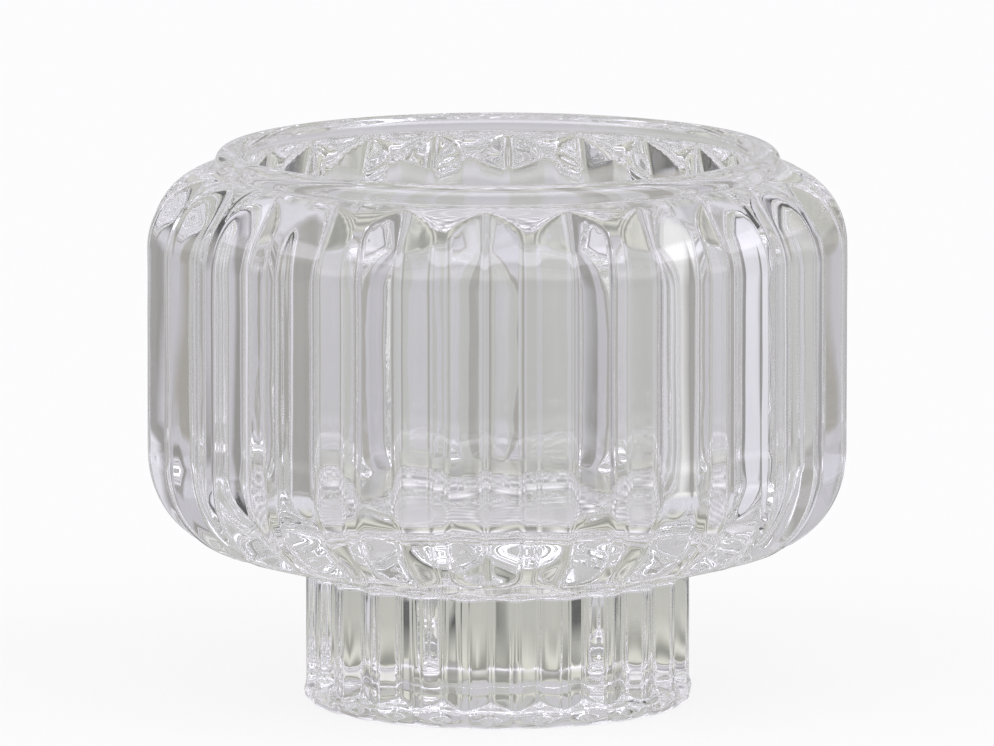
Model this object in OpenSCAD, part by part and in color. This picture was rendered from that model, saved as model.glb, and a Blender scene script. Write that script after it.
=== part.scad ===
// Fluted glass candle holder: a wide drum-shaped bowl with a smooth shoulder and a rounded
// drinking-glass rim, on a short fluted foot. Millimetres, +Z up, origin in the middle of the
// ring that the foot stands on. A flute's crest points along each axis.

/* [Overall] */
// Height from the table to the top of the rim
height = 71.4; // [62:0.2:84]
// Number of flutes round the bowl, and round the foot
flute_count = 24; // [20:1:28]

/* [Bowl] */
// Widest diameter, across opposite crests
bowl_d = 90; // [86:0.5:96]
// How deep the valleys between the crests lie in the wall
bowl_flute_depth = 2; // [1.4:0.1:2.3]
// Width of the smooth land on each crest
bowl_land = 2; // [1.2:0.1:3]
// Radius of the smooth shoulder, seen from the side
shoulder_r = 10.1; // [9:0.1:11.5]
// Lean of the flutes' upper ends towards the rim, in degrees
upper_lean = 38; // [32:1:42]
// Radius of the lower corner, seen from the side
corner_r = 12.9; // [11.5:0.1:14]
// Lean of the flutes' lower ends towards the foot, in degrees
lower_lean = 55; // [50:1:58]
// Rise of the underside from the neck outwards, in degrees
underside_angle = 15; // [12:0.5:18]

/* [Rim and the space for the candle] */
// How far the rim stands in from the widest part of the bowl
rim_inset = 8.8; // [7.5:0.1:9.5]
// Height of the rim above the plane where it leaves the shoulder
rim_h = 2.5; // [2:0.1:4]
// Thickness of the glass at the rim
rim_wall = 3.4; // [2.6:0.1:4.5]
// Thickness of glass from the neck up to the cavity's floor
floor_t = 10.6; // [7:0.2:14]
// Radius where the cavity's wall meets its floor
cavity_corner_r = 3.6; // [2:0.2:6]

/* [Foot] */
// Diameter across the crests of the foot's flutes
foot_d = 49.4; // [46:0.2:52]
// Height of the foot up to the neck
foot_h = 17.2; // [14:0.2:20]
// How deep the valleys between the foot's crests lie
foot_flute_depth = 1.35; // [0.8:0.05:1.6]
// Width of the smooth land on each of the foot's crests
foot_land = 1.2; // [0.6:0.1:2]
// Diameter of the smooth ring round the bottom of the foot
foot_ring_d = 50; // [48:0.2:54]
// Height of that ring where it is widest
foot_ring_h = 2.2; // [1.8:0.1:3]
// Height over which the flutes run out above that ring
flute_runout = 1.6; // [1:0.1:3]
// Radius of the foot's rounded bottom edge
foot_edge_r = 1.6; // [0.8:0.1:1.8]
// Diameter of the shallow hollow under the foot, inside the ring that it stands on
hollow_d = 42; // [36:0.5:44]
// Depth of that hollow
hollow_h = 0.8; // [0.4:0.1:1.4]

/* [Hidden] */
$fn = 96;

flute_pitch = 360 / flute_count;
// How far a cut reaches past the surface it opens
overrun = 2;

// Bowl
bowl_r = bowl_d / 2;
rim_r = bowl_r - rim_inset;
cavity_r = rim_r - rim_wall;
neck_r = foot_d / 2;
rim_z = height - rim_h;
shoulder_x = bowl_r - shoulder_r;
// The shoulder's arc passes through the outer edge of the rim's lower plane
shoulder_z = rim_z - sqrt(pow(shoulder_r, 2) - pow(rim_r - shoulder_x, 2));
corner_x = bowl_r - corner_r;
// The corner's arc ends where its slope is the underside's, on a line that starts at the neck
corner_end_x = corner_x + corner_r * sin(underside_angle);
corner_end_z = foot_h + (corner_end_x - neck_r) * tan(underside_angle);
corner_z = corner_end_z + corner_r * cos(underside_angle);
floor_z = foot_h + floor_t;

// A convex flute is part of a circle through the edge of its land and through the valley beside it
function lobe_x(r, land, depth) =
    let (valley = r - depth,
         edge_x = sqrt(pow(r, 2) - pow(land / 2, 2)))
    (pow(valley, 2) - pow(r, 2)) / (2 * (valley * cos(flute_pitch / 2) - edge_x));
function lobe_r(r, land, depth) =
    let (x = lobe_x(r, land, depth),
         edge_x = sqrt(pow(r, 2) - pow(land / 2, 2)))
    sqrt(pow(edge_x - x, 2) + pow(land / 2, 2));

bowl_lobe_x = lobe_x(bowl_r, bowl_land, bowl_flute_depth);
bowl_lobe_r = lobe_r(bowl_r, bowl_land, bowl_flute_depth);
// In how many knees a bar bends, and how far a knee lies past the start of the bend
upper_knees = 1;
lower_knees = 2;
function knee_run(middle_x, turn) = (bowl_lobe_x - middle_x) * tan(turn / 2);

foot_lobe_x = lobe_x(foot_d / 2, foot_land, foot_flute_depth);
foot_lobe_r = lobe_r(foot_d / 2, foot_land, foot_flute_depth);

// The smooth turned form that bounds the bowl: shoulder, wall, lower corner and underside
module bowl_form() {
    rotate_extrude() {
        polygon([
            [0, foot_h], [neck_r, foot_h], [corner_end_x, corner_end_z],
            [corner_x, corner_z], [bowl_r, corner_z], [bowl_r, shoulder_z],
            [shoulder_x, shoulder_z], [shoulder_x, rim_z], [0, rim_z]
        ]);
        corner_arc();
        shoulder_arc();
    }
}

module corner_arc() {
    intersection() {
        translate([corner_x, corner_z]) circle(r = corner_r);
        polygon([
            [corner_end_x, corner_end_z], [corner_x, corner_z],
            [bowl_r + overrun, corner_z], [bowl_r + overrun, corner_end_z - overrun],
            [corner_end_x + overrun * sin(underside_angle), corner_end_z - overrun * cos(underside_angle)]
        ]);
    }
}

module shoulder_arc() {
    intersection() {
        translate([shoulder_x, shoulder_z]) circle(r = shoulder_r);
        translate([shoulder_x, shoulder_z]) square([shoulder_r + overrun, rim_z - shoulder_z]);
    }
}

// One convex flute of the bowl: a round bar along the wall that bends inwards above and below
module bowl_flute() {
    low_z = corner_z - knee_run(corner_x, lower_lean / lower_knees);
    top_z = shoulder_z + knee_run(shoulder_x, upper_lean / upper_knees);
    translate([bowl_lobe_x, 0, low_z])
        rotate([0, 0, 180]) cylinder(r = bowl_lobe_r, h = top_z - low_z);
    flute_end(shoulder_x, shoulder_z, upper_lean, upper_knees);
    mirror([0, 0, 1]) flute_end(corner_x, -corner_z, lower_lean, lower_knees);
}

// The bar's bend round the middle of the shoulder or of the corner, in round knees, each followed
// by a straight length, the last of which leans past the bowl's form
module flute_end(middle_x, middle_z, lean, knees) {
    turn = lean / knees;
    knee_r = (bowl_lobe_x - middle_x) / cos(turn / 2);
    translate([middle_x, 0, middle_z])
        for (i = [1:knees])
            rotate([0, -turn * (i - 1 / 2), 0]) translate([knee_r, 0, 0])
                rotate([0, -turn / 2, 0]) rotate([0, 0, 180]) {
                    sphere(r = bowl_lobe_r);
                    cylinder(r = bowl_lobe_r, h = i < knees ? 2 * knee_run(middle_x, turn) : 2 * bowl_lobe_r);
                }
}

// One valley: the wedge between two crests, less the flutes on both sides
module bowl_valley() {
    half = flute_pitch / 2;
    side = half - asin(bowl_land / 4 / bowl_r);
    inner = bowl_lobe_x - bowl_lobe_r / 2;
    outer = bowl_r + overrun;
    difference() {
        linear_extrude(height)
            polygon([
                inner * [cos(side), -sin(side)], outer * [cos(side), -sin(side)],
                outer * [cos(side), sin(side)], inner * [cos(side), sin(side)]
            ]);
        rotate([0, 0, half]) bowl_flute();
        rotate([0, 0, -half]) bowl_flute();
    }
}

// The space inside: a straight wall that rounds into a flat floor
module cavity() {
    corner_d = 2 * cavity_corner_r;
    translate([0, 0, floor_z + cavity_corner_r])
        cylinder(r = cavity_r, h = height - floor_z);
    rotate_extrude() {
        translate([0, floor_z]) square([cavity_r - cavity_corner_r, cavity_corner_r]);
        intersection() {
            translate([cavity_r - cavity_corner_r, floor_z + cavity_corner_r]) circle(d = corner_d);
            translate([cavity_r - cavity_corner_r, floor_z]) square([corner_d, cavity_corner_r]);
        }
    }
}

module bowl() {
    color("gainsboro")
    difference() {
        rotate([0, 0, flute_pitch / 4]) bowl_form();
        for (i = [0:flute_count - 1]) rotate([0, 0, (i + 1 / 2) * flute_pitch]) bowl_valley();
        cavity();
    }
}

// The plain rim: a short wall as thick as the glass there, rounded over its top
module rim() {
    bead_z = height - rim_wall / 2;
    color("whitesmoke")
    rotate_extrude() {
        translate([cavity_r, rim_z]) square([rim_wall, bead_z - rim_z]);
        intersection() {
            translate([cavity_r + rim_wall / 2, bead_z]) circle(d = rim_wall);
            translate([cavity_r, bead_z]) square(rim_wall);
        }
    }
}

// The foot's outline from above: convex flutes round a core
module foot_section() {
    circle(r = foot_lobe_x);
    for (i = [0:flute_count - 1])
        rotate([0, 0, i * flute_pitch]) translate([foot_lobe_x, 0]) circle(r = foot_lobe_r);
}

module foot_flutes() {
    intersection() {
        translate([0, 0, foot_edge_r]) linear_extrude(foot_h - foot_edge_r) foot_section();
        cylinder(d = foot_d, h = foot_h);
    }
}

// The smooth ring round the bottom, with a rounded lower edge and an upper side that slopes through
// the ends of the valleys into the core
module foot_ring() {
    ring_r = foot_ring_d / 2;
    valley_r = foot_d / 2 - foot_flute_depth;
    top_z = foot_ring_h + flute_runout * (ring_r - foot_lobe_x) / (ring_r - valley_r);
    rotate_extrude() {
        polygon([
            [0, 0], [ring_r - foot_edge_r, 0], [ring_r - foot_edge_r, foot_edge_r],
            [ring_r, foot_edge_r], [ring_r, foot_ring_h], [foot_lobe_x, top_z], [0, top_z]
        ]);
        intersection() {
            translate([ring_r - foot_edge_r, foot_edge_r]) circle(r = foot_edge_r);
            translate([ring_r - foot_edge_r, 0]) square(foot_edge_r);
        }
    }
}

// The shallow hollow that leaves a ring to stand on
module foot_hollow() {
    hollow_r = hollow_d / 2;
    rotate_extrude()
        polygon([
            [0, -overrun], [hollow_r, -overrun], [hollow_r, 0], [hollow_r - hollow_h, hollow_h], [0, hollow_h]
        ]);
}

module foot() {
    color("gainsboro")
    difference() {
        union() {
            foot_flutes();
            foot_ring();
        }
        foot_hollow();
    }
}

foot();
bowl();
rim();
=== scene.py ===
import math

import bpy
import numpy as np
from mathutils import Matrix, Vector


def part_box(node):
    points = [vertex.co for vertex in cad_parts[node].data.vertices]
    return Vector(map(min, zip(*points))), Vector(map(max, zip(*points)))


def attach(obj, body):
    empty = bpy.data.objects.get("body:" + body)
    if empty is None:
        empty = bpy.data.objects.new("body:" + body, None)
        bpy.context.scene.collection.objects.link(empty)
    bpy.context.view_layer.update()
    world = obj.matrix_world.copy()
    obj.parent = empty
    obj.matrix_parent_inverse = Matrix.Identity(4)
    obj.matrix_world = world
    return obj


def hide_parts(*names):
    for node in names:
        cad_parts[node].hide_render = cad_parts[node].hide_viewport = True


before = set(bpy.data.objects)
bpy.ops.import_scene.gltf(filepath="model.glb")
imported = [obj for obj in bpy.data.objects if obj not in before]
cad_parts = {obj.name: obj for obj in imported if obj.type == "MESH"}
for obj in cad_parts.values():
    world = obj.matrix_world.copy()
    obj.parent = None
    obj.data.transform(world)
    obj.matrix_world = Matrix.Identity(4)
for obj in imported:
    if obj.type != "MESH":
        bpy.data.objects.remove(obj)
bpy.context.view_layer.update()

MM = 0.001

# Sizes in millimetres. The outer ones are read from the frame, the rest repeat the part's own
FLUTES = 24
PITCH = 360 / FLUTES
foot_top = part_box("foot")[1]
rim_bottom, rim_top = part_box("rim")
HEIGHT, RIM_Z, RIM_R = rim_top[2] / MM, rim_bottom[2] / MM, rim_top[0] / MM
BOWL_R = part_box("bowl")[1][0] / MM
FOOT_H, RING_R = foot_top[2] / MM, foot_top[0] / MM

BOWL_DEPTH, BOWL_LAND = 2.0, 2.0
SHOULDER_R, UPPER_LEAN = 10.1, math.radians(38)
CORNER_R, LOWER_LEAN, UNDERSIDE = 12.9, math.radians(55), math.radians(15)
RIM_WALL, FLOOR_T, CAVITY_CORNER_R = 3.4, 10.6, 3.6
FOOT_R, FOOT_DEPTH, FOOT_LAND = 24.7, 1.35, 1.2
RING_H, RUNOUT, EDGE_R = 2.2, 1.6, 1.6
HOLLOW_R, HOLLOW_H = 21.0, 0.8

# The flanks of a flute are nearly flat: the radius of their slight bulge
BOWL_FLANK_R, FOOT_FLANK_R = 60.0, 30.0
# Fire polishing rounds every valley, every edge and the neck a little
VALLEY_SOFT, EDGE_SOFT, NECK_SOFT = 0.5, 0.12, 0.8
# Where the flutes have run out under the bowl
UNDER_END = 31.0
# How much of the flutes' depth the ring under them still has, as a share
RING_SCALLOP_SHARE = 0.5
# Lean of the ring's rounded upper edge where its slope begins, in degrees
RING_LEAN = 45
# Waves that the mould leaves in the skin: height, turns round the axis, length up the wall, start in radians
MOULD_WAVES = [(0.020, 7, 23, 0.0), (0.016, -5, 14, 1.3), (0.008, 31, 9, 0.7)]

# The slanting edge of the hollow underneath: points from its upper and from its lower corner, both a little rounded
HOLLOW_UPPER, HOLLOW_LOWER = [(-0.6, 0), (0, -0.1)], [(-0.2, 0.15), (0, 0)]
# Where rows of points lie on flat or straight stretches: radii under the foot and on the bowl's floor, and drops from
# the rim's lower plane down the inner wall
UNDER_ROWS, FLOOR_ROWS, WALL_ROWS = (4, 14), (24, 15, 6), (1, 4, 12, 22, 32)
# Where columns lie in half a flute, in degrees from the valley
COLUMNS = [0, 0.12, 0.3, 0.6, 1.1, 1.9, 3.0, 4.2, 5.4, 6.227, 6.8, PITCH / 2]
# Steps in the search for the flutes' surface, and a value small beside any size here
SEARCH_STEPS, SMALL = 40, 0.001

# Places on the bowl's profile, worked out as in the part
CAVITY_R = RIM_R - RIM_WALL
FLOOR_Z = FOOT_H + FLOOR_T
SHOULDER_X = BOWL_R - SHOULDER_R
SHOULDER_Z = RIM_Z - math.sqrt(SHOULDER_R**2 - (RIM_R - SHOULDER_X) ** 2)
CORNER_X = BOWL_R - CORNER_R
CORNER_END_X = CORNER_X + CORNER_R * math.sin(UNDERSIDE)
CORNER_END_Z = FOOT_H + (CORNER_END_X - FOOT_R) * math.tan(UNDERSIDE)
CORNER_Z = CORNER_END_Z + CORNER_R * math.cos(UNDERSIDE)


def softer_max(a, b, width):
    """The larger of two values, with the corner between them rounded by a parabola over that width."""
    near = np.clip(width - np.abs(a - b), 0, None) / width
    return np.maximum(a, b) + near * near * width / 4


def softer_min(a, b, width):
    """The smaller of two values, with the corner between them rounded by a parabola over that width."""
    return -softer_max(-a, -b, width)


def to_crest(degrees):
    """Angle from each column to the nearest crest, in radians."""
    return np.radians(np.abs((degrees + PITCH / 2) % PITCH - PITCH / 2))


def flank_middle(radius, land, depth, flank_r):
    """Middle of the arc that makes one flank, seen along the flute: it runs through the edge of the crest's land and
    through the valley beside it, and lies on the line at right angles through the point halfway between them."""
    half = math.radians(PITCH / 2)
    edge = np.array([math.sqrt(radius**2 - (land / 2) ** 2), land / 2])
    valley = (radius - depth) * np.array([math.cos(half), math.sin(half)])
    along = valley - edge
    length = math.hypot(*along)
    inward = np.array([-along[1], along[0]]) / length
    if inward[0] > 0:
        inward = -inward
    return (edge + valley) / 2 + inward * math.sqrt(flank_r**2 - length**2 / 4)


BOWL_FLANK = flank_middle(BOWL_R, BOWL_LAND, BOWL_DEPTH, BOWL_FLANK_R)
FOOT_FLANK = flank_middle(FOOT_R, FOOT_LAND, FOOT_DEPTH, FOOT_FLANK_R)


def arc(x, z, radius, start, end, steps):
    """Points on an arc in the plane of the profile, from one angle to another, in degrees."""
    a = np.radians(np.linspace(start, end, steps))
    return list(zip(x + radius * np.cos(a), z + radius * np.sin(a)))


def turned(profile, degrees):
    """A profile of (radius, height) carried round the axis: one row per point, one column per angle.
    A radius may be one number, or one number per column."""
    r = np.array([np.broadcast_to(row[0], degrees.shape) for row in profile])
    z = np.array([np.broadcast_to(row[1], degrees.shape) for row in profile])
    turn = np.radians(degrees)[None, :]
    return np.stack([r * np.cos(turn), r * np.sin(turn), z], axis=-1)


def bowl_form():
    """Rows of the smooth form round the bowl, from the neck up to the rim, as radius, height and outward normal: a
    straight underside, the lower corner's arc, a straight wall and the shoulder's arc."""
    t = np.linspace(0, 1, 12, endpoint=False)[1:]
    under = [FOOT_R + t * (CORNER_END_X - FOOT_R), FOOT_H + t * (CORNER_END_Z - FOOT_H),
             0 * t + math.sin(UNDERSIDE), 0 * t - math.cos(UNDERSIDE)]
    a = np.linspace(UNDERSIDE - math.pi / 2, 0, 34, endpoint=False)
    corner = [CORNER_X + CORNER_R * np.cos(a), CORNER_Z + CORNER_R * np.sin(a), np.cos(a), np.sin(a)]
    t = np.linspace(0, 1, 10, endpoint=False)
    wall = [BOWL_R + 0 * t, CORNER_Z + t * (SHOULDER_Z - CORNER_Z), 1 + 0 * t, 0 * t]
    a = np.linspace(0, math.acos((RIM_R - SHOULDER_X) / SHOULDER_R), 52)
    shoulder = [SHOULDER_X + SHOULDER_R * np.cos(a), SHOULDER_Z + SHOULDER_R * np.sin(a), np.cos(a), np.sin(a)]
    return np.concatenate([np.stack(part, axis=-1) for part in (under, corner, wall, shoulder)])


def inside_crest(x, z, bend_x, bend_z, radius, lean):
    """How far a point of a crest's own plane lies inside the crest line, which runs straight up, then round a bend of
    that radius up to the lean, and then straight on."""
    dx, dz = x - bend_x, np.clip(z - bend_z, 0, None)
    leant = dx * math.cos(lean) + dz * math.sin(lean)
    bent = np.where(dz > 0, np.hypot(dx, dz), dx)
    return radius - np.where(np.arctan2(dz, dx) > lean, leant, bent)


def from_flute(x, y, z):
    """Distance from a point to the flank of a flute, in the frame of that flute's crest: the flank's arc is carried
    along the crest line, so it is the distance to the arc's middle less the arc's radius."""
    up = inside_crest(x, z, SHOULDER_X, SHOULDER_Z, SHOULDER_R, UPPER_LEAN)
    down = inside_crest(x, -z, CORNER_X, -CORNER_Z, CORNER_R, LOWER_LEAN)
    inside = np.where(z > (SHOULDER_Z + CORNER_Z) / 2, up, down)
    return np.hypot(BOWL_R - inside - BOWL_FLANK[0], np.abs(y) - BOWL_FLANK[1]) - BOWL_FLANK_R


def fluted_bowl(degrees):
    """The smooth form moved in along its normal until it meets the nearer of the two flutes beside it, in steps as long
    as the distance that is left. Under the bowl the depth fades out to nothing."""
    r, z, nr, nz = [column[:, None] for column in bowl_form().T]
    off = to_crest(degrees)[None, :]
    other = math.radians(PITCH) - off
    reach = 0 * (r + off)
    for step in range(SEARCH_STEPS):
        rr, zz = r - reach * nr, z - reach * nz
        near = from_flute(rr * np.cos(off), rr * np.sin(off), zz)
        far = from_flute(rr * np.cos(other), rr * np.sin(other), zz)
        reach = reach + softer_min(near, far, VALLEY_SOFT)
    depth = np.maximum(softer_max(reach, 0, EDGE_SOFT), 0)
    run_out = np.clip((r - UNDER_END) / (CORNER_END_X - UNDER_END), 0, 1)
    depth = depth * np.where(nz < SMALL - math.cos(UNDERSIDE), run_out, 1)
    turn = np.radians(degrees)[None, :]
    rr, zz = r - depth * nr, z - depth * nz
    return np.stack([rr * np.cos(turn), rr * np.sin(turn), zz + 0 * turn], axis=-1)


def foot_outline(degrees):
    """Radius of the fluted foot at each column: where a ray from the axis leaves a flank's arc, at most the land's."""
    middle_r, middle_turn = math.hypot(*FOOT_FLANK), math.atan2(FOOT_FLANK[1], FOOT_FLANK[0])

    def ray(angle):
        across = middle_r * np.sin(angle - middle_turn)
        return middle_r * np.cos(angle - middle_turn) + np.sqrt(FOOT_FLANK_R**2 - across**2)

    off = to_crest(degrees)
    both = softer_max(ray(off), ray(math.radians(PITCH) - off), VALLEY_SOFT)
    return softer_min(both, FOOT_R, EDGE_SOFT)


def foot_rows(degrees):
    """Profile of the foot from the middle of its hollow underside, over the ring it stands on and up its flutes to the
    neck. The ring's section is an arc that ends in a straight slope, and it keeps a share of the flutes' depth. At the
    neck a small hollow round turns into the bowl's underside."""
    outline = foot_outline(degrees)
    rows = [(r, HOLLOW_H) for r in UNDER_ROWS]
    rows += [(HOLLOW_R - HOLLOW_H + dr, HOLLOW_H + dz) for dr, dz in HOLLOW_UPPER]
    rows += [(HOLLOW_R + dr, dz) for dr, dz in HOLLOW_LOWER]
    edge_x = RING_R - EDGE_R
    rows += [(HOLLOW_R + (edge_x - HOLLOW_R) * t, 0.0) for t in (0.3, 0.65, 0.97)]
    dip = RING_SCALLOP_SHARE * (FOOT_R - outline)
    flutes_z, neck_z = RING_H + RUNOUT, FOOT_H - NECK_SOFT
    rows += [(r - dip * z / EDGE_R, z) for r, z in arc(edge_x, EDGE_R, EDGE_R, -90, 0, 8)]
    bead = arc(edge_x, EDGE_R, EDGE_R, 0, RING_LEAN, 7)[1:]
    rows += [(softer_max(outline, r - dip, EDGE_SOFT), z) for r, z in bead]
    for t in np.linspace(0, 1, 10)[1:]:
        slope = (1 - t) * (bead[-1][0] - dip) + t * (FOOT_R - FOOT_DEPTH)
        rows.append((softer_max(outline, slope, EDGE_SOFT), (1 - t) * bead[-1][1] + t * flutes_z))
    rows += [(outline, flutes_z + t * (neck_z - flutes_z)) for t in (0.15, 0.4, 0.7, 0.9)]
    for a in np.radians(np.linspace(0, 80, 6)):
        rows.append((outline + NECK_SOFT * (1 - math.cos(a)), neck_z + NECK_SOFT * math.sin(a)))
    return rows


def cavity_rows():
    """Profile from the shoulder over the rounded rim, down the inner wall and round into the flat floor."""
    half_wall = RIM_WALL / 2
    rows = [(RIM_R, RIM_Z + 0.3)]
    rows += arc(CAVITY_R + half_wall, HEIGHT - half_wall, half_wall, 0, 180, 20)
    rows += [(CAVITY_R, RIM_Z - drop) for drop in WALL_ROWS]
    rows += arc(CAVITY_R - CAVITY_CORNER_R, FLOOR_Z + CAVITY_CORNER_R, CAVITY_CORNER_R, 0, -90, 11)
    rows += [(r, FLOOR_Z) for r in FLOOR_ROWS]
    return rows


def mould_waves(points):
    """The same points moved in by long faint waves, each the sine of turns times the angle plus a full turn per length
    of height. They fade out from the foot's radius to half of it."""
    x, y, z = np.moveaxis(points, -1, 0)
    turn, r = np.arctan2(y, x), np.hypot(x, y)
    wave = 0
    for height, turns, length, start in MOULD_WAVES:
        wave = wave + height * (np.sin(turns * turn + 2 * np.pi * z / length + start) - 1)
    scale = 1 + wave * np.clip(2 * r / FOOT_R - 1, 0, 1) / r
    return np.stack([x * scale, y * scale, z], axis=-1)


def closed_skin(name, rows, low_middle, high_middle):
    """One mesh from a grid of rows that closes round the axis, with a fan of triangles at each end."""
    count, around = rows.shape[:2]
    points = np.concatenate([rows.reshape(-1, 3), [low_middle, high_middle]]) * MM
    row, col = np.meshgrid(np.arange(count - 1) * around, np.arange(around), indexing="ij")
    after = (col + 1) % around
    quads = np.stack([row + col, row + after, row + around + after, row + around + col], axis=-1)
    first, second, top = col[0], after[0], (count - 1) * around
    low = np.stack([0 * first + count * around, second, first], axis=-1)
    high = np.stack([0 * first + count * around + 1, top + first, top + second], axis=-1)
    corners = np.concatenate([quads.ravel(), low.ravel(), high.ravel()])
    sizes = np.concatenate([np.full(quads.shape[0] * quads.shape[1], 4), np.full(2 * around, 3)])
    mesh = bpy.data.meshes.new(name)
    mesh.vertices.add(len(points))
    mesh.vertices.foreach_set("co", points.astype(np.float32).ravel())
    mesh.loops.add(len(corners))
    mesh.loops.foreach_set("vertex_index", corners.astype(np.int32))
    mesh.polygons.add(len(sizes))
    mesh.polygons.foreach_set("loop_start", np.concatenate([[0], np.cumsum(sizes)[:-1]]).astype(np.int32))
    mesh.polygons.foreach_set("loop_total", sizes.astype(np.int32))
    mesh.polygons.foreach_set("use_smooth", np.ones(len(sizes), dtype=bool))
    mesh.update(calc_edges=True)
    mesh.validate()
    obj = bpy.data.objects.new(name, mesh)
    bpy.context.scene.collection.objects.link(obj)
    return obj


def glass_body():
    """The whole pressing as one closed skin. Columns stand close together in each valley and wider apart towards the
    crest."""
    half = np.array(COLUMNS)
    flute = np.concatenate([half[:-1], PITCH - half[:0:-1]])
    degrees = ((np.arange(FLUTES)[:, None] + 0.5) * PITCH + flute[None, :]).ravel()
    outside = np.concatenate([turned(foot_rows(degrees), degrees), fluted_bowl(degrees)])
    rows = np.concatenate([mould_waves(outside), turned(cavity_rows(), degrees)])
    return closed_skin("pressed_glass_body", rows, (0, 0, HOLLOW_H), (0, 0, FLOOR_Z))


def linear(hex_colour, level=1.0):
    """sRGB hex to linear red, green, blue and alpha, times a level."""
    c = np.array([int(hex_colour[i:i + 2], 16) / 255 for i in (1, 3, 5)])
    c = level * np.where(c <= 0.04045, c / 12.92, ((c + 0.055) / 1.055) ** 2.4)
    return (*c.tolist(), 1.0)


def add(tree, kind, inputs=None, links=None, **settings):
    """Adds one node: settings are its own, inputs are values on its sockets, links are sockets of other nodes."""
    node = tree.nodes.new(kind)
    for key, value in settings.items():
        setattr(node, key, value)
    for key, value in (inputs or {}).items():
        node.inputs[key].default_value = value
    for key, source in (links or {}).items():
        tree.links.new(source, node.inputs[key])
    return node


# The glass: how strongly it bends light, and the length and height of the small waves in its skin in millimetres
GLASS_IOR, RIPPLE, RIPPLE_HEIGHT = 1.52, 9, 0.02


def pressed_glass():
    """Pressed soda-lime glass, fire-polished: water-clear and sharply shiny. Where it left the mould its skin has small
    waves, which make the bars seen through the wall a little crooked and the highlights a little uneven."""
    mat = bpy.data.materials.new("pressed_soda_lime_glass")
    mat.use_nodes = True
    tree = mat.node_tree
    tree.nodes.clear()
    coord = add(tree, "ShaderNodeTexCoord")
    waves = add(tree, "ShaderNodeTexNoise", {"Scale": 1 / (RIPPLE * MM), "Detail": 1.0, "Roughness": 0.4},
                {"Vector": coord.outputs["Object"]})
    bump = add(tree, "ShaderNodeBump", {"Strength": 1.0, "Distance": RIPPLE_HEIGHT * MM},
               {"Height": waves.outputs["Fac"]})
    glass = add(tree, "ShaderNodeBsdfPrincipled", {
        "Base Color": linear("#fdfdfd"), "Roughness": 0.0, "IOR": GLASS_IOR, "Transmission Weight": 1.0,
    }, {"Normal": bump.outputs["Normal"]})
    add(tree, "ShaderNodeOutputMaterial", links={"Surface": glass.outputs["BSDF"]})
    return mat


glass = glass_body()
glass.data.materials.append(pressed_glass())
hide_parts("foot", "bowl", "rim")
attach(glass, "root")

# The studio. The camera sees it plain white, as in the photograph. Reflections and glass show the pale grey room that
# the photograph's glass shows: soft panels and darker gaps round the object, whose light and shade are painted over the
# table too
WHITE, MATT, CEILING = linear("#ffffff"), linear("#e6e6e6"), linear("#fffdff", 0.60)
# How high a direction looks where the ceiling begins and where it is all that shows, as the sine of the angle
CEILING_FROM, CEILING_TO = 0.55, 0.80
# Share of plain white in the floor as the camera sees it, the rest taking the shadow, and half its width in metres
FLOOR_WHITE, FLOOR_HALF = 0.85, 30
# Light that the glass gathers on the table: distance from the middle in millimetres, level and tint. The rings
# under the foot show in the floor of the bowl, the plain greenish table beyond them in the foot
GATHERED = [
    (0, 0.76, "#fbf8ff"), (6, 0.74, "#fbf8ff"), (7.5, 0.86, "#fbf8ff"), (9, 0.72, "#fbf8ff"), (12.5, 0.73, "#fbf8ff"),
    (13.7, 0.95, "#fbf8ff"), (15, 0.71, "#fbf8ff"), (17.5, 0.72, "#fbf8ff"), (18.8, 1.06, "#fbf8ff"),
    (20.2, 0.66, "#fbf8ff"), (22, 0.56, "#fbf8ff"), (23.5, 1.10, "#fbf8ff"), (25, 0.76, "#fbf8ff"),
    (32, 0.52, "#fdfdf2"),
]
# Painted light in rays on the table: how much brighter than the mean the table is in line with a crest, as a share,
# and the distances from the middle where that begins and where it is full
RAYS, RAYS_FROM, RAYS_TO = 0.4, 6, 24
# What stands round the object: angle from straight behind in degrees, level and tint. The far table is painted with it
# too
AROUND = [
    (0, 0.61, "#fbf9ff"), (8, 0.60, "#fbf9ff"), (10.5, 0.54, "#fcfdfa"), (21, 0.54, "#fcfdfa"),
    (23.5, 0.38, "#fffcf8"), (30, 0.39, "#fffaf2"), (33, 0.58, "#f9f7ff"), (40, 0.56, "#f9f7ff"),
    (44, 0.28, "#fffcf8"), (50, 0.28, "#fffcf8"), (54, 0.80, "#f8f6ff"), (70, 0.80, "#f8f6ff"),
    (76, 0.40, "#fffcf8"), (96, 0.36, "#fffcf8"), (102, 0.80, "#ffffff"), (128, 0.75, "#ffffff"),
    (134, 0.42, "#ffffff"), (180, 0.40, "#ffffff"),
]
# The same for the table close behind the foot: painted light, with dark patches of painted shade that give the foot
# its dark streaks. Only light that has gone through the glass no more than twice sees them, because the
# photograph's shoulder has no such dark spots
NEAR_PAINTED_LIGHT_AND_SHADE = [
    (0, 0.55, "#fdfdf4"), (23, 0.50, "#fdfdf4"), (27, 0.07, "#ffffff"), (44, 0.07, "#ffffff"), (50, 0.80, "#f8f6ff"),
    (110, 0.75, "#f8f6ff"), (130, 0.40, "#ffffff"), (180, 0.38, "#ffffff"),
]
# Distances in millimetres over which the first gives way to the near table, and that to what stands round the object
TO_NEAR, TO_AROUND = (48, 75), (120, 150)
# Shade over the far table: distance in millimetres, level and tint. The wall shows it as a soft change in height
SHADE = [
    (0, 1.05, "#ffffff"), (150, 1.05, "#ffffff"), (175, 1.16, "#ffffff"), (200, 1.16, "#ffffff"),
    (228, 0.98, "#ffffff"), (300, 0.98, "#ffffff"), (480, 1.06, "#ffffff"),
]
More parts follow.
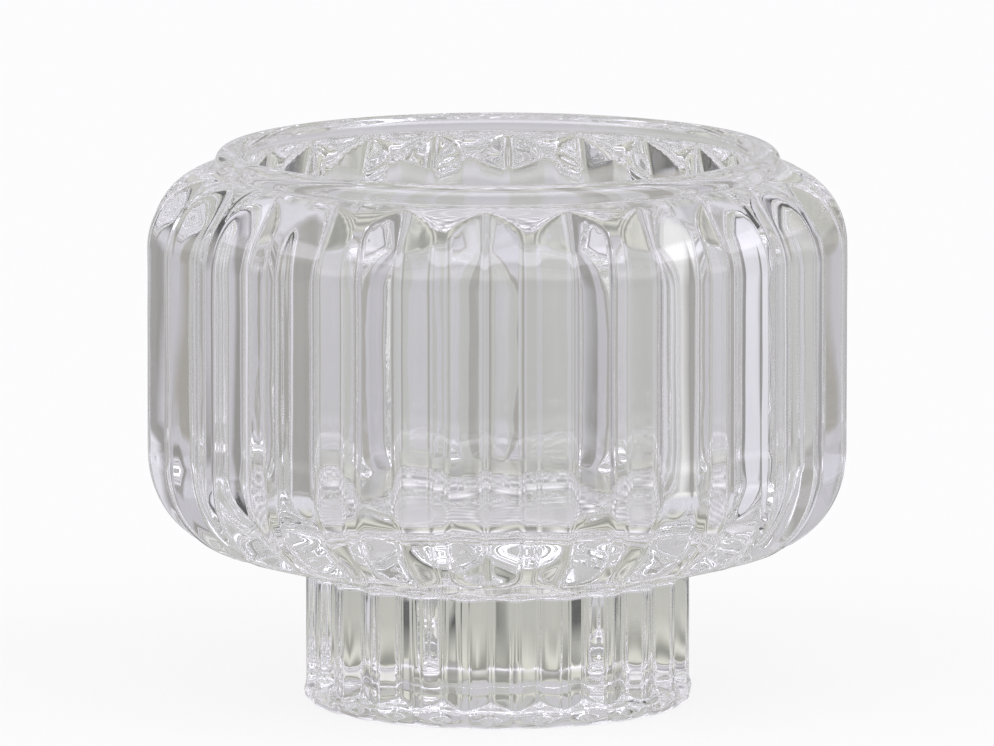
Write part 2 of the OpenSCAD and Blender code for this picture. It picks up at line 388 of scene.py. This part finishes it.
# A band of lamps high round the front and sides: its edges in degrees above the table, its tint, its level in
# reflections and as seen through the glass, and the softness of its edges and ends, in parts of a direction's length
BAND_EDGES, BAND_TINT, BAND_SEEN, BAND_THROUGH = (31, 53), "#f3f0ff", 4.2, 2.2
BAND_SOFT, BAND_END = 0.03, -0.25
# Limits that lie between whole numbers of passes through the skin of the glass: any pass, and more than two
ANY_PASS, TWO_PASSES = 0.5, 2.5

scene = bpy.context.scene
scene.view_settings.view_transform = "Standard"
scene.cycles.max_bounces = 32
scene.cycles.transmission_bounces = 32
scene.cycles.glossy_bounces = 16


def ramp(tree, value, stops):
    """Colours blended over a value, from stops of place, level and tint. The last stop's place is the full value."""
    full = stops[-1][0]
    share = add(tree, "ShaderNodeMath", {1: 1 / full}, {0: value}, operation="MULTIPLY")
    node = add(tree, "ShaderNodeValToRGB", links={"Fac": share.outputs[0]})
    elements = node.color_ramp.elements
    while len(elements) < len(stops):
        elements.new(0.5)
    for element, (place, level, tint) in zip(elements, stops):
        element.position = place / full
        element.color = linear(tint, level)
    return node.outputs["Color"]


def surroundings(tree, way, stops):
    """Colour in a horizontal direction, from stops over the angle from straight behind the object."""
    part = add(tree, "ShaderNodeSeparateXYZ", links={0: way})
    side = add(tree, "ShaderNodeMath", operation="ABSOLUTE", links={0: part.outputs["X"]})
    angle = add(tree, "ShaderNodeMath", operation="ARCTAN2", links={0: side.outputs[0], 1: part.outputs["Y"]})
    degrees = add(tree, "ShaderNodeMath", links={0: angle.outputs[0]}, operation="DEGREES")
    return ramp(tree, degrees.outputs[0], stops)


def floor():
    """A plain white floor. The camera sees it white with a trace of shadow. Through the glass it glows with painted
    light
    and shade: the gathered light under the object, then the near painted shade, and further out the painted panels and
    gaps."""
    half = FLOOR_HALF
    mesh = bpy.data.meshes.new("studio_floor")
    mesh.from_pydata([(-half, -half, 0), (half, -half, 0), (half, half, 0), (-half, half, 0)], [], [(0, 1, 2, 3)])
    obj = bpy.data.objects.new("studio_floor", mesh)
    scene.collection.objects.link(obj)
    mat = bpy.data.materials.new("white_floor")
    mat.use_nodes = True
    tree = mat.node_tree
    tree.nodes.clear()
    path = add(tree, "ShaderNodeLightPath")
    matt = add(tree, "ShaderNodeBsdfDiffuse", {"Color": MATT})
    white = add(tree, "ShaderNodeEmission", {"Color": WHITE, "Strength": 1.0})
    to_camera = add(tree, "ShaderNodeMixShader", {"Fac": FLOOR_WHITE}, {1: matt.outputs[0], 2: white.outputs[0]})
    place = add(tree, "ShaderNodeTexCoord").outputs["Object"]
    metres = add(tree, "ShaderNodeVectorMath", links={0: place}, operation="LENGTH").outputs["Value"]
    away = add(tree, "ShaderNodeMath", {1: 1 / MM}, {0: metres}, operation="MULTIPLY").outputs[0]
    near = add(tree, "ShaderNodeMapRange", {"From Min": TO_NEAR[0], "From Max": TO_NEAR[1]}, {"Value": away})
    beyond = add(tree, "ShaderNodeMapRange", {"From Min": TO_AROUND[0], "From Max": TO_AROUND[1]}, {"Value": away})
    part = add(tree, "ShaderNodeSeparateXYZ", links={0: place})
    angle = add(tree, "ShaderNodeMath", links={0: part.outputs["Y"], 1: part.outputs["X"]}, operation="ARCTAN2")
    turns = add(tree, "ShaderNodeMath", {1: FLUTES}, {0: angle.outputs[0]}, operation="MULTIPLY")
    wave = add(tree, "ShaderNodeMath", links={0: turns.outputs[0]}, operation="COSINE")
    strength = add(tree, "ShaderNodeMapRange", {"From Min": RAYS_FROM, "From Max": RAYS_TO, "To Max": RAYS},
                   {"Value": away})
    rays = add(tree, "ShaderNodeMath", {2: 1.0}, {0: wave.outputs[0], 1: strength.outputs[0]},
               operation="MULTIPLY_ADD")
    # Painted light that the glass gathers on the table: rings under the foot, and rays in line with the crests
    gathered = add(tree, "ShaderNodeMix", {0: 1.0}, {6: ramp(tree, away, GATHERED), 7: rays.outputs[0]},
                   data_type="RGBA", blend_type="MULTIPLY")
    # Painted light and shade on the far table: the panels and gaps round the object, times the painted shade over it
    around = add(tree, "ShaderNodeMix", {0: 1.0}, {6: surroundings(tree, place, AROUND), 7: ramp(tree, away, SHADE)},
                 data_type="RGBA", blend_type="MULTIPLY").outputs[2]
    passes = path.outputs["Transmission Depth"]
    # Dark patches of painted shade on the near table, seen only by light that has passed the glass's skin at most twice
    straight = add(tree, "ShaderNodeMath", {1: TWO_PASSES}, {0: passes}, operation="LESS_THAN")
    painted_gap_shade = add(tree, "ShaderNodeMix", links={0: straight.outputs[0], 6: around, 7: surroundings(tree, place, NEAR_PAINTED_LIGHT_AND_SHADE)},
               data_type="RGBA")
    table = add(tree, "ShaderNodeMix", links={0: near.outputs[0], 6: gathered.outputs[2], 7: painted_gap_shade.outputs[2]},
                data_type="RGBA")
    table = add(tree, "ShaderNodeMix", links={0: beyond.outputs[0], 6: table.outputs[2], 7: around},
                data_type="RGBA")
    # The table as the glass sees it glows with this painted light and shade; it is no lamp
    painted_table_light = add(tree, "ShaderNodeEmission", {"Strength": 1.0}, {"Color": table.outputs[2]})
    by_glass = add(tree, "ShaderNodeMath", operation="MAXIMUM",
                   links={0: path.outputs["Is Glossy Ray"], 1: path.outputs["Is Transmission Ray"]})
    other = add(tree, "ShaderNodeMixShader", links={0: by_glass.outputs[0], 1: matt.outputs[0], 2: painted_table_light.outputs[0]})
    both = add(tree, "ShaderNodeMixShader",
               links={0: path.outputs["Is Camera Ray"], 1: other.outputs[0], 2: to_camera.outputs[0]})
    add(tree, "ShaderNodeOutputMaterial", links={"Surface": both.outputs[0]})
    mesh.materials.append(mat)


def backdrop():
    """The world: white to the camera, and to other rays the surroundings, a pale ceiling and the band of lamps."""
    scene.world = bpy.data.worlds.new("studio")
    scene.world.use_nodes = True
    tree = scene.world.node_tree
    tree.nodes.clear()
    path = add(tree, "ShaderNodeLightPath")
    way = add(tree, "ShaderNodeTexCoord").outputs["Generated"]
    part = add(tree, "ShaderNodeSeparateXYZ", links={0: way})
    up = part.outputs["Z"]
    high = add(tree, "ShaderNodeMapRange", {"From Min": CEILING_FROM, "From Max": CEILING_TO}, {"Value": up})
    room = add(tree, "ShaderNodeMix", {7: CEILING}, {0: high.outputs[0], 6: surroundings(tree, way, AROUND)},
               data_type="RGBA")
    low, top = [math.sin(math.radians(edge)) for edge in BAND_EDGES]
    over = add(tree, "ShaderNodeMapRange", {"From Min": low - BAND_SOFT, "From Max": low + BAND_SOFT}, {"Value": up})
    under = add(tree, "ShaderNodeMapRange", {"From Min": top + BAND_SOFT, "From Max": top - BAND_SOFT}, {"Value": up})
    front = add(tree, "ShaderNodeMapRange", {"From Min": 0.0, "From Max": BAND_END}, {"Value": part.outputs["Y"]})
    share = add(tree, "ShaderNodeMath", operation="MULTIPLY", links={0: over.outputs[0], 1: under.outputs[0]})
    share = add(tree, "ShaderNodeMath", operation="MULTIPLY", links={0: share.outputs[0], 1: front.outputs[0]})
    passes = path.outputs["Transmission Depth"]
    through = add(tree, "ShaderNodeMath", {1: ANY_PASS}, {0: passes}, operation="GREATER_THAN")
    band = add(tree, "ShaderNodeMix", {6: linear(BAND_TINT, BAND_SEEN), 7: linear(BAND_TINT, BAND_THROUGH)},
               {0: through.outputs[0]}, data_type="RGBA")
    lit = add(tree, "ShaderNodeMix", links={0: share.outputs[0], 6: room.outputs[2], 7: band.outputs[2]},
              data_type="RGBA")
    room = add(tree, "ShaderNodeBackground", {"Strength": 1.0}, {"Color": lit.outputs[2]})
    white = add(tree, "ShaderNodeBackground", {"Color": WHITE, "Strength": 1.0})
    both = add(tree, "ShaderNodeMixShader",
               links={0: path.outputs["Is Camera Ray"], 1: room.outputs[0], 2: white.outputs[0]})
    add(tree, "ShaderNodeOutputWorld", links={"Surface": both.outputs[0]})


def camera():
    """The photograph's place: far away, slightly above and a little to the left of the front. The view is turned a
    little off the object's middle, to put it where it stands in the photograph's frame."""
    turn, lift, distance = math.radians(5.4), math.radians(8.6), 2300
    px_per_mm, off_right, off_up = 7.8, -0.75, 56.5
    data = bpy.data.cameras.new("camera")
    data.lens = 649.7
    data.sensor_width = 36
    data.clip_end = 100
    obj = bpy.data.objects.new("camera", data)
    scene.collection.objects.link(obj)
    back = Vector((-math.sin(turn) * math.cos(lift), -math.cos(turn) * math.cos(lift), math.sin(lift)))
    right = Vector((math.cos(turn), -math.sin(turn), 0))
    up = back.cross(right)
    middle = Vector((0, 0, 35))
    place = middle + distance * back
    aim = middle + right * (off_right / px_per_mm) + up * (off_up / px_per_mm)
    obj.location = place * MM
    obj.rotation_euler = (aim - place).to_track_quat("-Z", "Y").to_euler()
    scene.camera = obj


floor()
backdrop()
camera()
